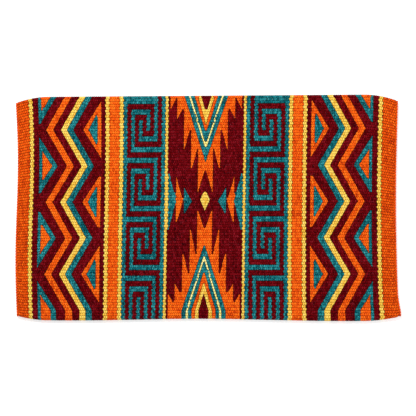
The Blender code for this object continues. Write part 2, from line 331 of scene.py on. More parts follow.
@dataclass(frozen=True)
class CentrePanel:
    """The panel in the middle of the blanket, in picks from its middle and ribs."""

    half_width: int = 36
    middle: float = 38.8
    side_middle: float = 39.3
    last_apex: float = 80.0
    layers: tuple[Layer, ...] = (
        Layer("wedge_core", "wedge", Dye.MAROON, 4.7),
        Layer("wedge_lining", "wedge", Dye.YELLOW, 8.2),
        Layer("wedge", "wedge", Dye.ORANGE, 11.6),
        Layer("chevron", "chevron", Dye.TEAL, 14.9),
        Layer("chevron_line", "chevron", Dye.PALE, 17.1),
        Layer("chevron", "chevron", Dye.TEAL, 21.2),
    )
    selvage_field: Field = Field(
        "selvage",
        (
            Tooth(7.3, 27.4, 36.6),
            Tooth(14.2, 19.0, 29.0),
            Tooth(21.3, 11.5, 20.8),
            Tooth(28.2, 4.2, 8.8),
            Tooth(34.8, 0.5, 5.5),
        ),
        (6.9, 10.9, 14.0, 18.2, 20.4, 24.7),
    )
    fold_field: Field = Field(
        "fold",
        (
            Tooth(7.3, 29.7, 38.6),
            Tooth(14.2, 19.4, 31.8),
            Tooth(21.3, 11.8, 23.5),
            Tooth(28.2, 5.8, 10.1),
            Tooth(34.8, 2.3, 6.6),
        ),
        (6.1, 10.9, 14.8, 18.7, 21.1, 24.8),
    )
    diamond: tuple[float, float] = (4.8, 4.1)
    crescent: Wedge = Wedge(-35.3, 7.3, 11.2)
    sliver: Wedge = Wedge(-28.2, 7.1, 9.4)
    pointer: Wedge = Wedge(-20.5, 8.0, 5.2)

    def area(self, pick: float, rib: float) -> Area:
        """The area at a place.

        Args:
            pick: Picks from the middle, to the right.
            rib: Ribs from the selvage.

        Returns:
            The area.
        """
        off = rib - self.middle
        across = abs(pick)
        if across / self.diamond[0] + abs(off) / self.diamond[1] < 1:
            return Area("diamond", Dye.YELLOW, "diamond")
        for name, shape, dye in (
            ("crescent", self.crescent, Dye.TEAL),
            ("sliver", self.sliver, Dye.ORANGE),
            ("pointer", self.pointer, Dye.TEAL),
        ):
            if shape.holds(-across, rib - self.side_middle):
                side = Side.LEFT if pick < 0 else Side.RIGHT
                return Area(f"{side.word}_{name}", dye, "centre_ground")
        if off < 0:
            return self.field_area(self.selvage_field, across, rib)
        return self.field_area(self.fold_field, across, self.last_apex - rib)

    def field_area(self, field: Field, across: float, depth: float) -> Area:
        """The area in or beside one orange field.

        Args:
            field: The field.
            across: Picks from the middle.
            depth: Ribs from where the field starts.

        Returns:
            The area.
        """
        for layer, reach in zip(self.layers, field.depths):
            if across / layer.half_width + max(depth, 0) / reach < 1:
                return Area(f"{field.place}_{layer.name}", layer.dye, f"{field.place}_{layer.node}")
        start = 0.0
        for tooth in field.teeth:
            if across < tooth.outer:
                share = (across - start) / (tooth.outer - start)
                if depth < tooth.notch_ribs + (tooth.tip_ribs - tooth.notch_ribs) * share:
                    return Area(f"{field.place}_field", Dye.ORANGE, f"{field.place}_field")
                break
            start = tooth.outer
        return Area("centre_ground", Dye.MAROON, "centre_ground")


@dataclass(frozen=True)
class Pattern:
    """The bands of the blanket, by their number of picks from the middle outwards."""

    centre: CentrePanel = CentrePanel()
    fret: FretPanel = FretPanel()
    zigzag: ZigzagPanel = ZigzagPanel()
    stripe: int = 4
    orange_stripe: int = 11
    end_band: int = 12

    @property
    def reach(self) -> int:
        """The number of picks on each side of the middle one."""
        stripes = 4 * self.stripe + self.orange_stripe + self.end_band
        return self.centre.half_width + self.fret.width + self.zigzag.width + stripes

    def edge_share(self, pick: float, weave: "Weave") -> float:
        """How closely the edges of the areas at a pick follow their lines, from 0 to 1."""
        across = abs(pick)
        outer = self.reach - self.end_band - self.stripe
        inner = outer - self.zigzag.width
        slanted = across < self.centre.half_width - 0.5 or inner + 1.5 < across < outer - 0.5
        return weave.slanted_share if slanted else weave.straight_share

    def way_to_edge(
        self, pick: float, rib: float, names: set[str], weave: "Weave"
    ) -> tuple[float, float]:
        """The way from a place to the nearest edge between some areas.

        Args:
            pick: Picks from the middle, to the right.
            rib: Ribs from the selvage.
            names: The names of the areas.
            weave: The shape of a float.

        Returns:
            The way in picks and in ribs, or zeros if no such edge is near.
        """
        here = self.area(pick, rib).name
        if here not in names:
            return 0.0, 0.0
        nearest, found = weave.search, (0.0, 0.0)
        for number in range(weave.search_ways):
            angle = 2 * math.pi * number / weave.search_ways
            ways = math.cos(angle) / weave.pick, math.sin(angle) / weave.rib
            inside, outside = 0.0, nearest
            other = self.area(pick + ways[0] * outside, rib + ways[1] * outside).name
            if other == here or other not in names:
                continue
            while outside - inside > weave.gap:
                middle = (inside + outside) / 2
                if self.area(pick + ways[0] * middle, rib + ways[1] * middle).name == here:
                    inside = middle
                else:
                    outside = middle
            nearest, found = outside, (ways[0] * outside, ways[1] * outside)
        across = self.area(pick - found[0] * weave.tip_reach, rib + found[1] * weave.tip_reach).name
        if across != here and across in names:
            return 0.0, found[1]
        return found

    def area(self, pick: float, rib: float) -> Area:
        """The area at a place.

        Args:
            pick: Picks from the middle, to the right.
            rib: Ribs from the selvage.

        Returns:
            The area.
        """
        left = abs(pick) - self.centre.half_width - 0.5
        if left < 0:
            return self.centre.area(pick, rib)
        side = Side.LEFT if pick < 0 else Side.RIGHT
        for name, width, dye in (
            ("centre_yellow_stripe", self.stripe, Dye.YELLOW),
            ("fret", self.fret.width, None),
            ("fret_yellow_stripe", self.stripe, Dye.YELLOW),
            ("orange_stripe", self.orange_stripe, Dye.ORANGE),
            ("zigzag_yellow_stripe", self.stripe, Dye.YELLOW),
            ("zigzag", self.zigzag.width, None),
            ("end_yellow_stripe", self.stripe, Dye.YELLOW),
            ("end_band", self.end_band, Dye.RUST),
        ):
            if left < width:
                break
            left -= width
        if name == "fret":
            return self.fret.area(side, width - left, rib)
        if name == "zigzag":
            return self.zigzag.area(side, width - left, rib)
        return on_side(side, name, dye)


@dataclass(frozen=True)
class Cloth:
    """How the folded cloth lies: its marks along X, its outline and how its columns lean."""

    ribs: int = 82
    turn_ribs: int = 4
    thickness: float = 0.00685
    layer_gap: float = 0.0003
    facing_z: float = 0.007
    fold_radius: float = 0.007
    end_pinch: float = 0.6
    marks: tuple[float, ...] = (0, 36.5, 40.5, 84.5, 88.5, 99.5, 103.5, 174.5, 178.5, 190)
    left_edges: tuple[float, ...] = (
        0, 0.0856, 0.0921, 0.1875, 0.1967,
        0.2195, 0.2289, 0.3934, 0.4024, 0.4267,
    )
    right_edges: tuple[float, ...] = (
        0, 0.0859, 0.0920, 0.1887, 0.1976,
        0.2208, 0.2300, 0.3909, 0.4002, 0.4299,
    )
    half_length: float = 0.4312
    middle_x: float = -0.003
    column_lean: float = 0.0068
    right_pinch: float = 0.0052
    right_flare: float = 0.0016
    corner_ear: float = 0.0055
    ear_ribs: float = 4.6
    ear_power: int = 12
    left_wave: float = 0.0032
    left_flare: float = 0.0026
    flare_power: int = 4
    fold_spread: float = 0.0011
    spread_power: int = 6
    selvage_y: float = 0.2549
    hinge_y: float = -0.24716
    seam_gap: float = 0.0012
    seam_ribs: float = 0.2
    fold_y: float = -0.2487
    taper: float = 0.075
    selvage_draw_in: float = 0.0140
    fold_draw_in: float = 0.0094
    corner_round: float = 0.0030
    corner_reach: float = 0.0080
    selvage_tilt: float = 0.0030
    fold_tilt: float = -0.0010
    fold_ripple: float = 0.0024
    fold_waves: float = 1.4

    def straight(self, picks: np.ndarray) -> np.ndarray:
        """Where picks lie along X before the cloth leans and waves."""
        return np.interp(picks, self.marks, self.right_edges) - np.interp(-picks, self.marks, self.left_edges)

    def place(self, picks: np.ndarray, ribs: np.ndarray) -> tuple[np.ndarray, np.ndarray]:
        """Where places of the pattern lie in the folded cloth.

        Args:
            picks: Picks from the middle, to the right.
            ribs: Ribs from the selvage.

        Returns:
            Their X and Y.
        """
        straight = self.straight(picks)
        along, down = straight / self.half_length, ribs / self.ribs
        left, right = np.minimum(along, 0), np.maximum(along, 0)
        x = straight + (self.middle_x - self.column_lean * (down - 0.5)) * (1 - along**2)
        x += right**2 * self.right_pinch * (0.5 - np.sin(np.pi * down))
        x += right**2 * self.right_flare * down**2
        corner = np.exp(-(((self.ribs - ribs) / self.ear_ribs) ** 2))
        x += right**self.ear_power * self.corner_ear * corner
        x += left**2 * self.left_wave * np.sin(2 * np.pi * down)
        x -= left**2 * self.left_flare * (1 - down) ** self.flare_power
        x += self.fold_spread * np.sin(np.pi * along) * down**self.spread_power
        top, bottom = self.selvage(straight), self.seam(straight)
        return x, top + (bottom - top) * down

    def lay(self, bed: Bed, picks: np.ndarray, ribs: np.ndarray, heights: np.ndarray) -> np.ndarray:
        """Points of the cloth in the row frame.

        Args:
            bed: The half or the turn that they are on.
            picks: Picks from the middle, to the right.
            ribs: Ribs from the selvage, or from the upper half on the turn.
            heights: Heights over the middle of the cloth's thickness.

        Returns:
            The points, one row each.
        """
        if bed is not Bed.TURN:
            x, y = self.place(picks, ribs)
            rise = (self.thickness + self.layer_gap) / 2
            return np.column_stack([x, y, self.facing_z + (rise if bed is Bed.UPPER else -rise) + heights])
        x, seam = self.place(picks, np.full(len(picks), float(self.ribs)))
        axis, left = self.turn_axis(self.straight(picks))
        middle = self.fold_radius - self.thickness / 2
        along = self.way_round(ribs, 2 * (seam - axis) + np.pi * middle) - (seam - axis)
        angle = np.clip(along / middle, 0, np.pi)
        flat = np.clip(-along, 0, None) + np.clip(along - np.pi * middle, 0, None)
        radius = middle + heights
        y = axis + flat - radius * np.sin(angle) * left
        return np.column_stack([x, y, self.facing_z + radius * np.cos(angle)])

    def way_round(self, ribs: np.ndarray, length: np.ndarray) -> np.ndarray:
        """How far round the turn its ribs lie, which are as wide at its seams as in the halves.

        Args:
            ribs: Ribs from the upper half.
            length: The turn's length there from half to half.

        Returns:
            The ways, one for each rib.
        """
        pitch = (self.selvage_y - self.hinge_y) / self.ribs
        off = np.minimum(ribs, self.turn_ribs - ribs)
        stretch = (length / 2 - self.seam_ribs * pitch) / (self.turn_ribs / 2 - self.seam_ribs)
        way = np.minimum(off, self.seam_ribs) * pitch
        way += np.clip(off - self.seam_ribs, 0, None) * stretch
        return np.where(ribs < self.turn_ribs / 2, way, length - way)

    def bend(self, piece: bpy.types.Object) -> None:
        """Bake a piece of the turn's place into its mesh; the hinge's axis is worked out but not used."""
        start, end = (0, self.hinge_y, 0), (0, self.hinge_y, 2 * self.facing_z)
        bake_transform(piece)
        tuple(start)
        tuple(end)

    def drawn(self, x: np.ndarray) -> np.ndarray:
        """How far the edges are drawn in at x, from 0 to 1 at the ends."""
        return (np.clip(np.abs(x) - self.half_length + self.taper, 0, None) / self.taper) ** 2

    def selvage(self, x: np.ndarray) -> np.ndarray:
        """The Y of the selvage edge."""
        tilt = self.selvage_tilt * x / self.half_length
        return self.selvage_y + tilt - self.selvage_draw_in * self.drawn(x)

    def seam(self, x: np.ndarray) -> np.ndarray:
        """The Y where the halves end and the turn begins, which is never beyond the hinge."""
        return np.maximum(self.turn_axis(x)[0], self.hinge_y + self.seam_gap)

    def turn_axis(self, x: np.ndarray) -> tuple[np.ndarray, np.ndarray]:
        """The Y of the turn's axis, and the share of its depth that is left where it is pinched."""
        left = 1 - self.end_pinch * self.drawn(x)
        return self.fold(x) - self.fold_radius * (1 - left), left

    def fold(self, x: np.ndarray) -> np.ndarray:
        """The Y of the fold, a radius inside the edge that it shows."""
        ripple = self.fold_ripple * np.cos(np.pi * self.fold_waves * x / self.half_length)
        past = np.clip(np.abs(x) - self.half_length + self.corner_reach, 0, None)
        corner = (past / self.corner_reach) ** 2
        drawn_in = self.fold_draw_in * self.drawn(x) + self.corner_round * corner
        return self.fold_y + self.fold_tilt * x / self.half_length + ripple + drawn_in


@dataclass(frozen=True)
class Weave:
    """The shape of a float, in picks and ribs or in metres."""

    pick: float = 0.0023
    rib: float = 0.006
    side_ribs: float = 0.35
    edge_ribs: float = 0.3
    relief: float = 0.0016
    side_share: float = 0.45
    ring_share: float = 0.72
    ring_height: float = 0.74
    ridge_share: float = 0.34
    gap: float = 0.0003
    gap_depth: float = 0.0012
    under_share: float = 0.1
    jitter_picks: float = 0.10
    jitter_ribs: float = 0.035
    jitter_height: float = 0.0003
    scallop_ribs: float = 0.08
    slanted_share: float = 0.86
    straight_share: float = 0.18
    seam_share: float = 0.25
    search: float = 0.0042
    tip_reach: float = 1.2
    search_ways: int = 12
    easing_steps: int = 3
    corner_kinds: int = 3
    side_kind: int = 2
    corners: tuple[tuple[int, int, int], ...] = (
        (-1, 0, 1),
        (0, 1, 0),
        (1, 0, 1),
        (1, 0, 2),
        (1, 0, 0),
        (0, -1, 1),
        (-1, 0, 0),
        (-1, 0, 2),
    )
    hexagon: tuple[int, ...] = (0, 1, 2, 4, 5, 6)
    tips: tuple[int, ...] = (1, 4)
    faces: tuple[tuple[int, ...], ...] = (
        (0, 1, 9, 8),
        (1, 2, 10, 9),
        (4, 5, 12, 11),
        (5, 6, 13, 12),
        (10, 11, 15, 14),
        (13, 8, 14, 15),
        (2, 3, 10),
        (10, 3, 11),
        (3, 4, 11),
        (6, 7, 13),
        (13, 7, 8),
        (7, 0, 8),
        (8, 9, 14),
        (9, 10, 14),
        (11, 12, 15),
        (12, 13, 15),
    )

    @property
    def inner_heights(self) -> np.ndarray:
        """How high the ring and the ridge of a float stand in its relief, from 0 to 1."""
        return np.array([self.ring_height] * len(self.hexagon) + [1] * len(self.tips))


def add_mesh(name: str, points: np.ndarray, faces: list[np.ndarray]) -> bpy.types.Object:
    """A new object from arrays of points and faces.

    Args:
        name: The object's name.
        points: The points, one row each.
        faces: Arrays of faces, each array with one number of corners.

    Returns:
        The object, smooth shaded.
    """
    mesh = bpy.data.meshes.new(name)
    mesh.vertices.add(len(points))
    mesh.vertices.foreach_set("co", points.astype(np.float32).ravel())
    corners = np.concatenate([part.ravel() for part in faces])
    counts = np.concatenate([np.full(len(part), part.shape[1]) for part in faces])
    starts = np.concatenate([[0], np.cumsum(counts)[:-1]])
    mesh.loops.add(len(corners))
    mesh.loops.foreach_set("vertex_index", corners.astype(np.int32))
    mesh.polygons.add(len(counts))
    mesh.polygons.foreach_set("loop_start", starts.astype(np.int32))
    mesh.polygons.foreach_set("use_smooth", np.ones(len(counts), bool))
    mesh.update(calc_edges=True)
    piece = bpy.data.objects.new(name, mesh)
    bpy.context.scene.collection.objects.link(piece)
    return piece


def note(mesh: bpy.types.Mesh, name: str, values: np.ndarray, domain: str) -> None:
    """Keep one number for each point or face of a mesh as an attribute that materials read."""
    mesh.attributes.new(name, "FLOAT", domain).data.foreach_set("value", values.astype(np.float32))


class Loom:
    """Weaves pieces on one bed of the cloth, float by float."""

    def __init__(
        self, cloth: Cloth, weave: Weave, pattern: Pattern, bed: Bed, seed: int
    ) -> None:
        """Lay out the corners of every float.

        Args:
            cloth: How the cloth lies.
            weave: The shape of a float.
            pattern: The bands.
            bed: The half or the turn that is woven.
            seed: The start of its small differences between floats.
        """
        self.cloth, self.weave, self.bed = cloth, weave, bed
        self.reach = pattern.reach
        self.columns = 2 * self.reach + 1
        self.rows = cloth.turn_ribs if bed is Bed.TURN else cloth.ribs
        self.parity = 1 if bed is Bed.LOWER else 0
        self.chance = np.random.default_rng(seed)
        shape = (self.columns + 2, self.rows + 2, weave.corner_kinds)
        picks = np.broadcast_to(np.arange(-1, self.columns + 1)[:, None, None], shape) - self.reach
        ribs = np.broadcast_to(np.arange(-1, self.rows + 1)[None, :, None] + 0.5, shape)
        ribs = ribs + np.array([-weave.side_ribs, weave.side_ribs, 0])
        inside = (ribs > 0.5) & (ribs < self.rows - 0.5)
        picks = picks + inside * self.chance.uniform(-weave.jitter_picks, weave.jitter_picks, shape)
        ribs = ribs + inside * self.chance.uniform(-weave.jitter_ribs, weave.jitter_ribs, shape)
        if bed is not Bed.TURN:
            scallop = np.sign(ribs) * weave.scallop_ribs
            ribs = np.where(ribs < weave.edge_ribs, scallop, ribs)
        self.picks = np.clip(picks, -self.reach, self.reach).ravel()
        self.ribs = ribs.ravel()
        self.at_seam = self.ribs > self.rows - weave.edge_ribs
        if bed is Bed.TURN:
            self.at_seam |= self.ribs < weave.edge_ribs
        self.areas = self.share_out(pattern)
        self.follow_edges(pattern, shape)

    def shown(self, rib: float) -> float:
        """The rib of the pattern that a rib of this bed shows, the last one all over the turn."""
        return self.cloth.ribs - 0.5 if self.bed is Bed.TURN else rib

    def share_out(self, pattern: Pattern) -> dict[tuple[int, int], Area]:
        """Give every float an area, and one that would stand alone the area round it.

        Args:
            pattern: The bands.

        Returns:
            The area of each float by its column and rib.
        """
        areas = {
            (column, row): pattern.area(column - self.reach, self.shown(row + 0.5))
            for column, row in self.floats(range(self.rows))
        }
        shared = dict(areas)
        steps = ((-2, 0), (2, 0), (-1, -1), (1, -1), (-1, 1), (1, 1))
        for (column, row), area in areas.items():
            places = [(column + step, row + fall) for step, fall in steps]
            beside = [areas[place] for place in places if place in areas]
            if area not in beside:
                shared[column, row] = max(beside, key=beside.count)
        return shared

    def follow_edges(self, pattern: Pattern, shape: tuple[int, int, int]) -> None:
        """Move the corners between two areas on to the edge between them, where it slants.

        The corners at a seam see the floats of the other bed too, so they move alike on both.

        Args:
            pattern: The bands.
            shape: The numbers of columns, ribs and kinds of corner.
        """
        met: dict[int, set[str]] = {}
        outlines = self.outlines(np.array(list(self.areas))).tolist()
        for outline, area in zip(outlines, self.areas.values()):
            for corner in outline:
                met.setdefault(corner, set()).add(area.name)
        beyond = self.floats([-1, self.rows] if self.bed is Bed.TURN else [self.rows])
        for (column, row), outline in zip(beyond, self.outlines(np.array(beyond)).tolist()):
            name = pattern.area(column - self.reach, self.shown(self.cloth.ribs - 0.5)).name
            for corner in met.keys() & set(outline):
                met[corner].add(name)
        held, pinned = np.zeros((2, len(self.picks))), np.zeros(len(self.picks), bool)
        for corner, names in met.items():
            pick, rib = float(self.picks[corner]), float(self.ribs[corner])
            if len(names) > 1 and (rib > 0.5 or self.bed is Bed.TURN):
                way = np.array(pattern.way_to_edge(pick, self.shown(rib), names, self.weave))
                held[:, corner] = way * pattern.edge_share(pick, self.weave)
                pinned[corner] = True
        ways = held = held.reshape(2, *shape)
        pinned, seam = pinned.reshape(shape), self.at_seam.reshape(shape)
        for _ in range(self.weave.easing_steps):
            along, across = (np.roll(ways, 1, axis) + np.roll(ways, -1, axis) for axis in (1, 2))
            ways = np.where(pinned, held, np.where(seam, along / 2, (along + across) / 4))
        inside = (self.ribs > 0.5) & (self.ribs < self.rows - 0.5)
        self.picks = self.picks + ways[0].ravel()
        self.ribs = self.ribs + np.where(inside, ways[1].ravel(), 0)

    def floats(self, rows: Iterable[int]) -> list[tuple[int, int]]:
        """The column and rib of every float of some rows that shows on this bed."""
        return [(column, row) for row in rows for column in range((row + self.parity) % 2, self.columns, 2)]

    def outlines(self, floats: np.ndarray) -> np.ndarray:
        """The numbers of the eight corners round each float, turning left as seen from above."""
        around = []
        for step, fall, kind in self.weave.corners:
            column, row = floats[:, 0] + step, floats[:, 1] + fall
            place = (column + 1) * (self.rows + 2) + row + 1
            around.append(place * self.weave.corner_kinds + kind)
        return np.stack(around, axis=1)

    def weave_piece(
        self, name: str, floats: list[tuple[int, int]]
    ) -> tuple[bpy.types.Object, float, np.ndarray]:
        """Weave some floats as one closed piece, with the same outline on both faces.

        Args:
            name: The piece's name.
            floats: The column and rib of each float.

        Returns:
            The piece, its flat area and the number of each face's float.
        """
        weave, half_thickness = self.weave, self.cloth.thickness / 2
        outline = self.outlines(np.array(floats))
        used, local = np.unique(outline, return_inverse=True)
        local = local.reshape(outline.shape)
        size, count, inside = len(used), len(floats), len(weave.inner_heights)
        scale = np.array([weave.pick, weave.rib])
        flat = np.stack([self.picks[used], self.ribs[used]], axis=1) * scale
        middles = flat[local[:, weave.hexagon]].mean(axis=1)

        starts, ends = local.ravel(), np.roll(local, -1, axis=1).ravel()
        rim = ~np.isin(starts * size + ends, ends * size + starts)
        border = np.zeros(size)
        border[starts[rim]] = 1
        border[self.at_seam[used]] *= weave.seam_share
        inset = self.inward(flat, middles, local) * (border * weave.gap)[:, None]

        beside = used % weave.corner_kinds == weave.side_kind
        valley = half_thickness - weave.relief * np.where(beside, 1 - weave.side_share, 1)
        valley = valley - border * weave.gap_depth
        hexes = (flat + inset)[local[:, weave.hexagon]]
        offsets = hexes - middles[:, None]
        ring = middles[:, None] + offsets * weave.ring_share
        ridge = middles[:, None] + offsets[:, weave.tips] * weave.ridge_share
        inner = np.concatenate([ring, ridge], axis=1).reshape(-1, 2)
        # Crown of each corner, 0 at the valleys and along the edges of areas: the materials darken the colour
        # where it is low, as painted shade in the grooves between floats.
        outer_crown = beside * (border == 0) * weave.side_share
        crown = np.concatenate([outer_crown, np.tile(weave.inner_heights, count)])

        below = size + inside * count
        corners = np.concatenate([local, np.arange(size, below).reshape(-1, inside)], axis=1)
        drops = weave.relief * (1 - weave.inner_heights)
        points, quads, triangles = [], [], []
        for face, share in ((1, 1), (-1, weave.under_share)):
            places = np.concatenate([flat + inset * share, inner]) / scale
            top = half_thickness - self.chance.uniform(0, weave.jitter_height, count)[:, None]
            heights = face * np.concatenate([valley, (top - drops).ravel()])
            points.append(self.cloth.lay(self.bed, places[:, 0], places[:, 1], heights))
            numbers = corners + (0 if face > 0 else below)
            for shape in weave.faces:
                (quads if len(shape) == 4 else triangles).append(numbers[:, shape[::face]])
        starts, ends = starts[rim], ends[rim]
        walls = np.stack([ends, starts, starts + below, ends + below], axis=1)
        faces = [np.concatenate(quads), walls, np.concatenate(triangles)]
        piece = add_mesh(name, np.concatenate(points), faces)

        each = np.arange(count)
        walled = np.nonzero(rim)[0] // outline.shape[1]
        owners = np.concatenate([np.tile(each, len(quads)), walled, np.tile(each, len(triangles))])
        # The crown attribute carries the painted shade of the valleys between floats.
        note(piece.data, "crown", np.tile(crown, 2), "POINT")
        note(piece.data, "lot", self.chance.uniform(0, 1, count)[owners], "FACE")
        self.part_floats(piece.data, np.tile(np.arange(below) < size, 2))
        return piece, self.flat_area(places[:size], local), owners

    def flat_area(self, places: np.ndarray, local: np.ndarray) -> float:
        """The area of a piece in the middle of the cloth's thickness.

        Args:
            places: Its outer corners in picks and ribs.
            local: The numbers of the corners round each float.

        Returns:
            The area.
        """
        sheet = self.cloth.lay(self.bed, places[:, 0], places[:, 1], np.zeros(len(places)))[local]
        vectors = np.cross(sheet, np.roll(sheet, -1, axis=1)).sum(axis=1)
        return float(np.linalg.norm(vectors, axis=1).sum() / 2)

    def inward(self, flat: np.ndarray, middles: np.ndarray, local: np.ndarray) -> np.ndarray:
        """The direction from each corner into its piece.

        Args:
            flat: The corners on the flat cloth.
            middles: The middles of the floats.
            local: The numbers of the corners round each float.

        Returns:
            The directions, with a length of 1 or less.
        """
        toward = np.zeros_like(flat)
        np.add.at(toward, local.ravel(), np.repeat(middles, local.shape[1], axis=0))
        toward = toward / np.bincount(local.ravel(), minlength=len(flat))[:, None] - flat
        return toward / np.maximum(np.linalg.norm(toward, axis=1), self.weave.gap)[:, None]

    def part_floats(self, mesh: bpy.types.Mesh, outer: np.ndarray) -> None:
        """Mark the edges between floats sharp, so that each float is rounded on its own."""
        ends = np.empty(2 * len(mesh.edges), np.int32)
        mesh.edges.foreach_get("vertices", ends)
        ends = ends.reshape(-1, 2)
        sharp = outer[ends[:, 0]] & outer[ends[:, 1]]
        mesh.attributes.new("sharp_edge", "BOOLEAN", "EDGE").data.foreach_set("value", sharp)


Value = bpy.types.NodeSocket | float | tuple


class Wiring:
    """Adds nodes to one node tree and links them."""

    def __init__(self, tree: bpy.types.NodeTree) -> None:
        """Take the tree that the nodes are for."""
        self.tree = tree

    def sockets(self, kind: str, *names: str, way: str = "INPUT") -> None:
        """Give a group some inputs or outputs of one kind."""
        for name in names:
            self.tree.interface.new_socket(name, in_out=way, socket_type=f"NodeSocket{kind}")

    def fill(self, node: bpy.types.Node, inputs: dict[str | int, Value]) -> bpy.types.Node:
        """Fill some inputs of a node.

        Args:
            node: The node.
            inputs: For each input, the socket that it is linked to or its value.

        Returns:
            The node.
        """
        for name, value in inputs.items():
            if isinstance(value, bpy.types.NodeSocket):
                self.tree.links.new(value, node.inputs[name])
            else:
                node.inputs[name].default_value = value
        return node

    def add(
        self, kind: str, inputs: dict[str | int, Value] | None = None, **settings: object
    ) -> bpy.types.Node:
        """Add a node.

        Args:
            kind: Its type.
            inputs: What fills its inputs.
            settings: Its other settings.

        Returns:
            The node.
        """
        node = self.tree.nodes.new(kind)
        for name, value in settings.items():
            setattr(node, name, value)
        return self.fill(node, inputs or {})

    def noise(self, place: Value, stretch: Triple, detail: float) -> bpy.types.NodeSocket:
        """A noise with its own scale along each axis.

        Args:
            place: The coordinates.
            stretch: Its features in each metre along X, Y and Z.
            detail: Its levels of detail.

        Returns:
            The noise, from 0 to 1.
        """
        mapping = self.add("ShaderNodeMapping", {"Vector": place, "Scale": stretch})
        inputs = {"Vector": mapping.outputs["Vector"], "Scale": 1, "Detail": detail}
        return self.add("ShaderNodeTexNoise", inputs).outputs["Fac"]

    def ranged(self, value: Value, start: float, end: float) -> bpy.types.NodeSocket:
        """A value stretched so that start becomes 0 and end becomes 1."""
        inputs = {"Value": value, "From Min": start, "From Max": end}
        return self.add("ShaderNodeMapRange", inputs).outputs["Result"]

    def sum(self, operation: str, a: Value, b: Value) -> bpy.types.NodeSocket:
        """Two values joined by an operation of the Math node."""
        return self.add("ShaderNodeMath", {0: a, 1: b}, operation=operation).outputs[0]

    def mix(self, factor: Value, a: Value, b: Value, way: str = "MIX") -> bpy.types.NodeSocket:
        """Two colours mixed by a factor."""
        inputs = {"Factor": factor, 6: a, 7: b}
        return self.add("ShaderNodeMix", inputs, data_type="RGBA", blend_type=way).outputs[2]


@dataclass(frozen=True)
class WoolFinish:
    """The look of one dyed wool yarn, and how dark the shade painted into its valleys gets."""

    slot: str
    base: Triple
    deep: Triple
    light: Triple
    fleck: Triple
    fleck_share: float = 0.12
    contrast: float = 1.0
    # How dark the painted shade in the valleys between floats and along the edges of areas gets, from 0 to 1.
    valley: float = 0.7
    roughness: float = 0.9
    sheen: float = 0.01
    sheen_roughness: float = 0.6
    specular: float = 0.0
    bump_strength: float = 0.5
    bump_distance: float = 0.0005

    def material(
        self, name: str, tones: bpy.types.NodeTree, fibres: bpy.types.NodeTree
    ) -> bpy.types.Material:
        """The yarn's material.

        Args:
            name: The material's name.
            tones: The group that gives a yarn's colour.
            fibres: The group that gives its fibres' height and roughness.

        Returns:
            The material.
        """
        wool = bpy.data.materials.new(name)
        wool.use_nodes = True
        wiring = Wiring(wool.node_tree)
        place = wiring.add("ShaderNodeTexCoord").outputs["Object"]
        tone = {
            "Place": place,
            "Base": (*self.base, 1),
            "Deep": (*self.deep, 1),
            "Light": (*self.light, 1),
            "Fleck": (*self.fleck, 1),
            "Fleck Share": self.fleck_share,
            "Contrast": self.contrast,
            "Valley": self.valley,
        }
        colour = wiring.add("ShaderNodeGroup", tone, node_tree=tones)
        twist = {"Place": place, "Roughness": self.roughness}
        fibre = wiring.add("ShaderNodeGroup", twist, node_tree=fibres)
        relief = {
            "Strength": self.bump_strength,
            "Distance": self.bump_distance,
            "Height": fibre.outputs["Height"],
        }
        look = {
            "Base Color": colour.outputs["Color"],
            "Roughness": fibre.outputs["Roughness"],
            "Normal": wiring.add("ShaderNodeBump", relief).outputs["Normal"],
            "Sheen Weight": self.sheen,
            "Sheen Roughness": self.sheen_roughness,
            "Specular IOR Level": self.specular,
        }
        wiring.fill(wool.node_tree.nodes["Principled BSDF"], look)
        return wool


FINISHES = {
    Dye.ORANGE: WoolFinish(
        "orange_wool",
        base=(0.98, 0.120, 0.006),
        deep=(0.50, 0.036, 0.003),
        light=(1.0, 0.22, 0.015),
        fleck=(0.30, 0.02, 0.01),
        fleck_share=0.16,
        contrast=1.15,
    ),
    Dye.RUST: WoolFinish(
        "orange_wool",
        base=(0.85, 0.087, 0.003),
        deep=(0.42, 0.028, 0.004),
        light=(1.0, 0.17, 0.012),
        fleck=(0.18, 0.02, 0.01),
        fleck_share=0.16,
        # Deeper painted shade in the grooves between the end band's rows.
        valley=0.98,
    ),
    Dye.MAROON: WoolFinish(
        "maroon_wool",
        base=(0.135, 0.0008, 0.0020),
        deep=(0.022, 0.0004, 0.002),
        light=(0.25, 0.007, 0.015),
        fleck=(0.34, 0.05, 0.08),
    ),
    Dye.TEAL: WoolFinish(
        "teal_wool",
        base=(0.003, 0.158, 0.185),
        deep=(0.001, 0.036, 0.050),
        light=(0.04, 0.36, 0.39),
        fleck=(0.32, 0.55, 0.45),
        contrast=1.2,
    ),
    Dye.YELLOW: WoolFinish(
        "yellow_wool",
        base=(1.0, 0.63, 0.088),
        deep=(0.72, 0.33, 0.012),
        light=(1.0, 0.78, 0.20),
        fleck=(0.30, 0.15, 0.01),
    ),
    Dye.PALE: WoolFinish(
        "yellow_wool",
        base=(1.0, 0.88, 0.30),
        deep=(0.80, 0.60, 0.12),
        light=(1.0, 0.95, 0.50),
        fleck=(0.60, 0.45, 0.10),
        fleck_share=0.06,
    ),
    Dye.WARP: WoolFinish(
        "warp_wool",
        base=(0.26, 0.075, 0.03),
        deep=(0.12, 0.03, 0.012),
        light=(0.40, 0.14, 0.06),
        fleck=(0.10, 0.02, 0.01),
        fleck_share=0.08,
    ),
}


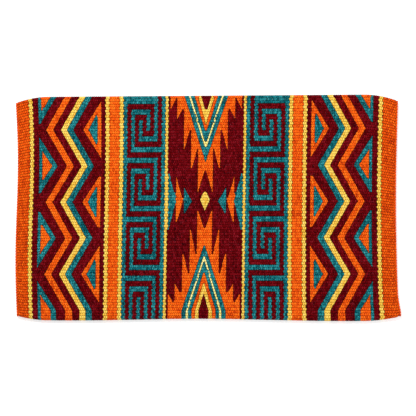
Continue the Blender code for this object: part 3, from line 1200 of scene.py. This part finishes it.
@dataclass
class Yarns:
    """The shared node groups and the material of each yarn."""

    lot_share: float = 0.30
    heather: Triple = (520, 260, 300)
    heather_share: float = 0.44
    run: Triple = (430, 22, 60)
    run_share: float = 0.16
    cloud: Triple = (26, 26, 26)
    cloud_share: float = 0.10
    noise_range: tuple[float, float] = (0.3, 0.7)
    swing: float = 1.3
    full_swing: float = 0.42
    speck: Triple = (640, 330, 500)
    speck_range: tuple[float, float] = (0.62, 0.74)
    speck_gain: float = 5.0
    # The crowns over which the painted valley shade fades out.
    valley_range: tuple[float, float] = (0.0, 0.8)
    ply_angle: float = math.radians(28)
    plies_per_metre: float = 210
    ply_distortion: float = 1.5
    ply_detail_scale: float = 2
    ply_share: float = 0.55
    fuzz: Triple = (2400, 900, 1600)
    fuzz_share: float = 0.45
    rough_share: float = 0.25

    def __post_init__(self) -> None:
        """Build the groups once and a material from them for each yarn."""
        tones, fibres = self.tones(), self.fibres()
        self.wool = {dye: look.material(f"wool_{dye.value}", tones, fibres) for dye, look in FINISHES.items()}

    def tones(self) -> bpy.types.NodeTree:
        """The group for a yarn's colour: its lots, heather, flecks and the shade painted into its valleys."""
        tree = bpy.data.node_groups.new("yarn_tones", "ShaderNodeTree")
        wiring = Wiring(tree)
        wiring.sockets("Vector", "Place")
        wiring.sockets("Color", "Base", "Deep", "Light", "Fleck")
        wiring.sockets("Float", "Fleck Share", "Contrast", "Valley")
        wiring.sockets("Color", "Color", way="OUTPUT")
        given = wiring.add("NodeGroupInput").outputs
        lot = wiring.add("ShaderNodeAttribute", attribute_name="lot").outputs["Fac"]
        crown = wiring.add("ShaderNodeAttribute", attribute_name="crown").outputs["Fac"]
        tone = wiring.sum("MULTIPLY", lot, self.lot_share)
        for stretch, detail, share in (
            (self.heather, 3, self.heather_share),
            (self.run, 1, self.run_share),
            (self.cloud, 2, self.cloud_share),
        ):
            noise = wiring.ranged(wiring.noise(given["Place"], stretch, detail), *self.noise_range)
            tone = wiring.sum("ADD", tone, wiring.sum("MULTIPLY", noise, share))
        swing = wiring.sum("MULTIPLY", wiring.sum("SUBTRACT", tone, 0.5), self.swing)
        swing = wiring.sum("MULTIPLY", swing, given["Contrast"])
        colour = wiring.mix(wiring.ranged(swing, 0, -self.full_swing), given["Base"], given["Deep"])
        colour = wiring.mix(wiring.ranged(swing, 0, self.full_swing), colour, given["Light"])
        rare = wiring.ranged(wiring.noise(given["Place"], self.speck, 2), *self.speck_range)
        rare = wiring.sum("MULTIPLY", rare, given["Fleck Share"])
        rare = wiring.ranged(wiring.sum("MULTIPLY", rare, self.speck_gain), 0, 1)
        colour = wiring.mix(rare, colour, given["Fleck"])
        # Painted shade: the colour is multiplied towards black where the crown is low, in the valleys between
        # floats and along the edges of areas.
        black, white = (0, 0, 0, 1), (1, 1, 1, 1)
        shadow = wiring.mix(wiring.ranged(crown, *self.valley_range), black, white)
        shadow = wiring.mix(given["Valley"], white, shadow)
        wiring.add("NodeGroupOutput", {"Color": wiring.mix(1, colour, shadow, "MULTIPLY")})
        return tree

    def fibres(self) -> bpy.types.NodeTree:
        """The group for the twisted plies and fibres of a yarn."""
        tree = bpy.data.node_groups.new("yarn_fibres", "ShaderNodeTree")
        wiring = Wiring(tree)
        wiring.sockets("Vector", "Place")
        wiring.sockets("Float", "Roughness")
        wiring.sockets("Float", "Height", "Roughness", way="OUTPUT")
        given = wiring.add("NodeGroupInput").outputs
        turned = {"Vector": given["Place"], "Rotation": (0, 0, self.ply_angle)}
        twist = {
            "Vector": wiring.add("ShaderNodeMapping", turned).outputs["Vector"],
            "Scale": self.plies_per_metre,
            "Distortion": self.ply_distortion,
            "Detail": 1,
            "Detail Scale": self.ply_detail_scale,
        }
        plies = wiring.add("ShaderNodeTexWave", twist).outputs["Fac"]
        fuzz = wiring.noise(given["Place"], self.fuzz, 3)
        height = wiring.sum("MULTIPLY", plies, self.ply_share)
        height = wiring.sum("ADD", height, wiring.sum("MULTIPLY", fuzz, self.fuzz_share))
        rough = wiring.sum("MULTIPLY", wiring.sum("SUBTRACT", fuzz, 0.5), self.rough_share)
        rough = wiring.sum("ADD", rough, given["Roughness"])
        wiring.add("NodeGroupOutput", {"Height": height, "Roughness": rough})
        return tree


@dataclass
class WovenHalf:
    """One half of the blanket: every colour area of its pattern as a woven piece."""

    bed: Bed
    pattern: Pattern
    cloth: Cloth
    weave: Weave
    seed: int
    most_share: float = 1.5
    least_side: float = 0.01

    def node(self, area: Area) -> str:
        """The CAD node that an area's piece stands for."""
        if self.bed is Bed.UPPER:
            return f"upper_{area.node}"
        for side in Side:
            if area.node.startswith(side.word):
                return f"lower_{side.word}_panel"
        return "lower_centre_panel"

    def build(self, yarns: Yarns) -> None:
        """Weave and dress every area.

        Args:
            yarns: The materials of the yarns.
        """
        loom = Loom(self.cloth, self.weave, self.pattern, self.bed, self.seed)
        areas: dict[Area, list[tuple[int, int]]] = {}
        for place, area in loom.areas.items():
            areas.setdefault(area, []).append(place)
        sheets, small = [], []
        for area, floats in areas.items():
            piece, flat, _ = loom.weave_piece(f"{self.bed.value}_{area.name}_weft", floats)
            piece.data.materials.append(yarns.wool[area.dye])
            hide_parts(self.node(area))
            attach(piece, f"{self.bed.value}_half")
            surface = sum(face.area for face in piece.data.polygons)
            if surface / 2 / flat > self.most_share:
                small.append(piece)
            else:
                sheets.append((piece, flat))
            log.info("%s: %d floats, share %.2f", piece.name, len(floats), surface / 2 / flat)
        for piece, flat in sheets:
            wide, long = (max(side, self.least_side) for side in piece.dimensions[:2])
            with_it = small if "centre_ground" in piece.name else []


@dataclass
class FoldTurn:
    """The turn of the cloth over the fold, whose bands carry on from one half to the other."""

    pattern: Pattern
    cloth: Cloth
    weave: Weave
    seed: int = 31

    def build(self, yarns: Yarns) -> None:
        """Weave the turn and dress each float by its band.

        Args:
            yarns: The materials of the yarns.
        """
        loom = Loom(self.cloth, self.weave, self.pattern, Bed.TURN, self.seed)
        piece, _, owners = loom.weave_piece("fold_turn_weft", list(loom.areas))
        dyes = [area.dye for area in loom.areas.values()]
        order = sorted(set(dyes), key=lambda dye: dye.value)
        for dye in order:
            piece.data.materials.append(yarns.wool[dye])
        slots = np.array([order.index(dye) for dye in dyes])[owners]
        piece.data.polygons.foreach_set("material_index", slots.astype(np.int32))
        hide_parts("fold_turn")
        self.cloth.bend(piece)
        log.info("%s: %d floats", piece.name, len(dyes))


def directions(rows: np.ndarray) -> np.ndarray:
    """Each row as a vector with a length of 1."""
    return rows / np.linalg.norm(rows, axis=1, keepdims=True)


def swept(name: str, route: np.ndarray, radius: float, sides: int, seed: int) -> bpy.types.Object:
    """A closed yarn along a route.

    Args:
        name: The object's name.
        route: The points of its middle, one row each.
        radius: Its radius.
        sides: The sides of its section.
        seed: The start of its tones.

    Returns:
        The object.
    """
    ahead = directions(np.gradient(route, axis=0))
    beside = directions(np.cross(TILTED_UP, ahead))
    above = np.cross(ahead, beside)
    turn = np.linspace(0, 2 * np.pi, sides, endpoint=False)
    across = np.cos(turn)[None, :, None] * beside[:, None]
    rings = route[:, None] + radius * (across + np.sin(turn)[None, :, None] * above[:, None])
    count = len(route)
    grid = np.arange(count * sides).reshape(count, sides)
    after = np.roll(grid, -1, axis=1)
    quads = np.stack([grid[:-1], after[:-1], after[1:], grid[1:]], axis=-1).reshape(-1, 4)
    tips = np.array([[count * sides], [count * sides + 1]])
    first = np.stack([after[0], grid[0], np.full(sides, tips[0, 0])], axis=1)
    last = np.stack([grid[-1], after[-1], np.full(sides, tips[1, 0])], axis=1)
    points = np.concatenate([rings.reshape(-1, 3), route[:1], route[-1:]])
    piece = add_mesh(name, points, [quads, np.concatenate([first, last])])
    # A crown of 1 all over: no painted valley shade on the cords and the warp.
    note(piece.data, "crown", np.ones(len(points)), "POINT")
    tones = np.random.default_rng(seed).uniform(0, 1, len(piece.data.polygons))
    note(piece.data, "lot", tones, "FACE")
    return piece


@dataclass
class EndCord:
    """The twisted cord along one end of the blanket, and its part over the fold."""

    side: Side
    cloth: Cloth
    reach: int
    diameter: float = 0.0052
    lay_length: float = 0.0125
    strands: int = 2
    strand_swell: float = 1.12
    sides: int = 8
    steps: int = 12
    least_steps: int = 8
    first_rib: float = 0.3
    half_stops: int = 120
    turn_stops: int = 24
    inset: float = 0.0008

    def middle_line(self, bed: Bed, ribs: np.ndarray) -> np.ndarray:
        """The middle of the cord at ribs of a bed."""
        picks = np.full(len(ribs), float(self.side.value * self.reach))
        line = self.cloth.lay(bed, picks, ribs, np.zeros(len(ribs)))
        line[:, 0] += self.side.value * (self.diameter / 2 - self.inset)
        return line

    def strand(self, line: np.ndarray, number: int) -> np.ndarray:
        """One strand's route, wound round the cord's middle line.

        Args:
            line: The cord's middle line.
            number: The strand's number.

        Returns:
            Its points.
        """
        along = np.concatenate([[0], np.cumsum(np.linalg.norm(np.diff(line, axis=0), axis=1))])
        steps = max(int(along[-1] / self.lay_length * self.steps), self.least_steps)
        even = np.linspace(0, along[-1], steps)
        line = np.stack([np.interp(even, along, line[:, axis]) for axis in range(3)], axis=1)
        ahead = directions(np.gradient(line, axis=0))
        beside = directions(np.cross(ahead, (1.0, 0.0, 0.0)))
        out = np.cross(beside, ahead)
        angle = 2 * np.pi * (even / self.lay_length + number / self.strands)
        wound = np.cos(angle)[:, None] * out + np.sin(angle)[:, None] * beside
        return line + wound * self.diameter / 4

    def build(self, yarns: Yarns) -> None:
        """Wind the cord of each half and of the fold.

        Args:
            yarns: The materials of the yarns.
        """
        ribs = np.linspace(self.first_rib, self.cloth.ribs, self.half_stops)
        over = np.linspace(0, self.cloth.turn_ribs, self.turn_stops)
        for bed, places in ((Bed.UPPER, ribs), (Bed.LOWER, ribs), (Bed.TURN, over)):
            line = self.middle_line(bed, places)
            for number in range(self.strands):
                name = f"{bed.value}_{self.side.word}_end_cord_strand_{number + 1}"
                radius = self.diameter / 4 * self.strand_swell
                piece = swept(name, self.strand(line, number), radius, self.sides, number)
                piece.data.materials.append(yarns.wool[Dye.RUST])
                if bed is Bed.TURN:
                    self.cloth.bend(piece)
                else:
                    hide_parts(f"{bed.value}_{self.side.word}_end_cord")
                    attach(piece, f"{bed.value}_half")
            log.info("%s %s end cord", bed.value, self.side.word)


@dataclass
class Warp:
    """The warp of one half: one yarn that runs to and fro, with a loop beyond each end."""

    bed: Bed
    cloth: Cloth
    reach: int
    diameter: float = 0.0018
    sides: int = 6
    stops: int = 17
    loop_picks: float = 0.6
    loop_reach: float = 0.0009
    loop_ribs: tuple[float, ...] = (0.7, 1.0, 1.3)
    seed: int = 5

    def build(self, yarns: Yarns) -> None:
        """Lay the warp along every rib in turn.

        Args:
            yarns: The materials of the yarns.
        """
        picks, ribs = [], []
        for run in range(self.cloth.ribs):
            way = 1 if run % 2 == 0 else -1
            picks += list(way * np.linspace(-self.reach, self.reach, self.stops))
            ribs += [run + 0.5] * self.stops
            if run < self.cloth.ribs - 1:
                picks += [way * (self.reach + self.loop_picks)] * len(self.loop_ribs)
                ribs += [run + rib for rib in self.loop_ribs]
        places = np.array(picks), np.array(ribs)
        route = self.cloth.lay(self.bed, *places, np.zeros(len(picks)))
        over = np.abs(places[0]) > self.reach
        route[:, 0] += np.sign(places[0]) * over * self.loop_reach
        piece = swept(f"{self.bed.value}_warp_yarn", route, self.diameter / 2, self.sides, self.seed)
        piece.data.materials.append(yarns.wool[Dye.WARP])
        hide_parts(f"{self.bed.value}_warp")
        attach(piece, f"{self.bed.value}_half")
        log.info("%s: %d runs", piece.name, self.cloth.ribs)


@dataclass(frozen=True)
class Studio:
    """The pale floor, the soft light and the camera straight above."""

    frame_width: float = 0.946
    frame_middle: Triple = (0.0041, -0.0006, 0.014)
    lens: float = 230.0
    sensor: float = 36.0
    floor_size: float = 12.0
    floor_drop: float = 0.0006
    floor_shade: float = 0.86
    floor_roughness: float = 0.9
    floor_glow: float = 0.38
    key_place: Triple = (-0.7, 1.9, 2.6)
    key_size: float = 1.2
    key_power: float = 80.0
    fill_place: Triple = (1.6, -1.0, 2.4)
    fill_size: float = 2.4
    fill_power: float = 24.0
    sky: float = 0.62
    camera_reach: float = 50.0

    def build(self) -> None:
        """Set up the floor, the lamps, the world and the camera."""
        self.floor()
        self.lamp("key_lamp", self.key_place, self.key_size, self.key_power)
        self.lamp("fill_lamp", self.fill_place, self.fill_size, self.fill_power)
        self.world()
        self.camera()
        bpy.context.scene.view_settings.view_transform = "Standard"

    def camera(self) -> None:
        """The camera, with a long lens that looks straight down."""
        bpy.ops.object.select_all(action="DESELECT")
        distance = self.frame_width * self.lens / self.sensor
        x, y, z = self.frame_middle
        bpy.ops.object.camera_add(location=(x, y, z + distance), rotation=(0, 0, 0))
        camera = bpy.context.object
        camera.data.lens, camera.data.sensor_width = self.lens, self.sensor
        camera.data.clip_end = self.camera_reach
        bpy.context.scene.camera = camera

    def lamp(self, name: str, place: Triple, size: float, power: float) -> None:
        """A square lamp that faces the blanket's middle.

        Args:
            name: The lamp's name.
            place: Where it hangs.
            size: The side of its square.
            power: Its power in watts.
        """
        bpy.ops.object.light_add(type="AREA", location=place)
        lamp = bpy.context.object
        lamp.name = name
        lamp.data.size, lamp.data.energy = size, power
        x, y, z = place
        lamp.rotation_euler = (math.atan2(math.hypot(x, y), z), 0, math.atan2(y, x) + math.pi / 2)

    def floor(self) -> None:
        """A plain white floor that shows as white to the camera and keeps the shadow."""
        bpy.ops.object.select_all(action="DESELECT")
        bpy.ops.mesh.primitive_plane_add(size=self.floor_size, location=(0, 0, -self.floor_drop))
        floor = bpy.context.object
        floor.name = "floor"
        white = bpy.data.materials.new("white_floor")
        white.use_nodes = True
        wiring, nodes = Wiring(white.node_tree), white.node_tree.nodes
        shade = {"Base Color": (*[self.floor_shade] * 3, 1), "Roughness": self.floor_roughness}
        shader = wiring.fill(nodes["Principled BSDF"], shade)
        seen = wiring.add("ShaderNodeLightPath").outputs["Is Camera Ray"]
        lift = wiring.sum("MULTIPLY", seen, self.floor_glow)
        glow = wiring.add("ShaderNodeEmission", {"Strength": lift})
        both = wiring.add("ShaderNodeAddShader", {0: shader.outputs[0], 1: glow.outputs[0]})
        wiring.fill(nodes["Material Output"], {"Surface": both.outputs[0]})
        floor.data.materials.append(white)

    def world(self) -> None:
        """An even sky, which shows brighter to the camera than it lights the blanket."""
        world = bpy.data.worlds.new("white_sky")
        bpy.context.scene.world = world
        world.use_nodes = True
        world.node_tree.nodes.clear()
        wiring = Wiring(world.node_tree)
        seen = wiring.add("ShaderNodeLightPath").outputs["Is Camera Ray"]
        lit = wiring.add("ShaderNodeBackground", {"Strength": self.sky}).outputs[0]
        shown = wiring.add("ShaderNodeBackground", {"Strength": 1}).outputs[0]
        either = wiring.add("ShaderNodeMixShader", {0: seen, 1: lit, 2: shown}).outputs[0]
        wiring.add("ShaderNodeOutputWorld", {"Surface": either})


def main() -> None:
    """Weave the blanket and set up the studio."""
    logging.basicConfig(level=logging.INFO, format="%(message)s")
    pattern, cloth, weave, yarns = Pattern(), Cloth(), Weave(), Yarns()
    WovenHalf(Bed.UPPER, pattern, cloth, weave, seed=11).build(yarns)
    WovenHalf(Bed.LOWER, pattern, cloth, weave, seed=23).build(yarns)
    FoldTurn(pattern, cloth, weave).build(yarns)
    EndCord(Side.LEFT, cloth, pattern.reach).build(yarns)
    EndCord(Side.RIGHT, cloth, pattern.reach).build(yarns)
    Warp(Bed.UPPER, cloth, pattern.reach).build(yarns)
    Warp(Bed.LOWER, cloth, pattern.reach).build(yarns)
    Studio().build()


if __name__ == "__main__":
    main()
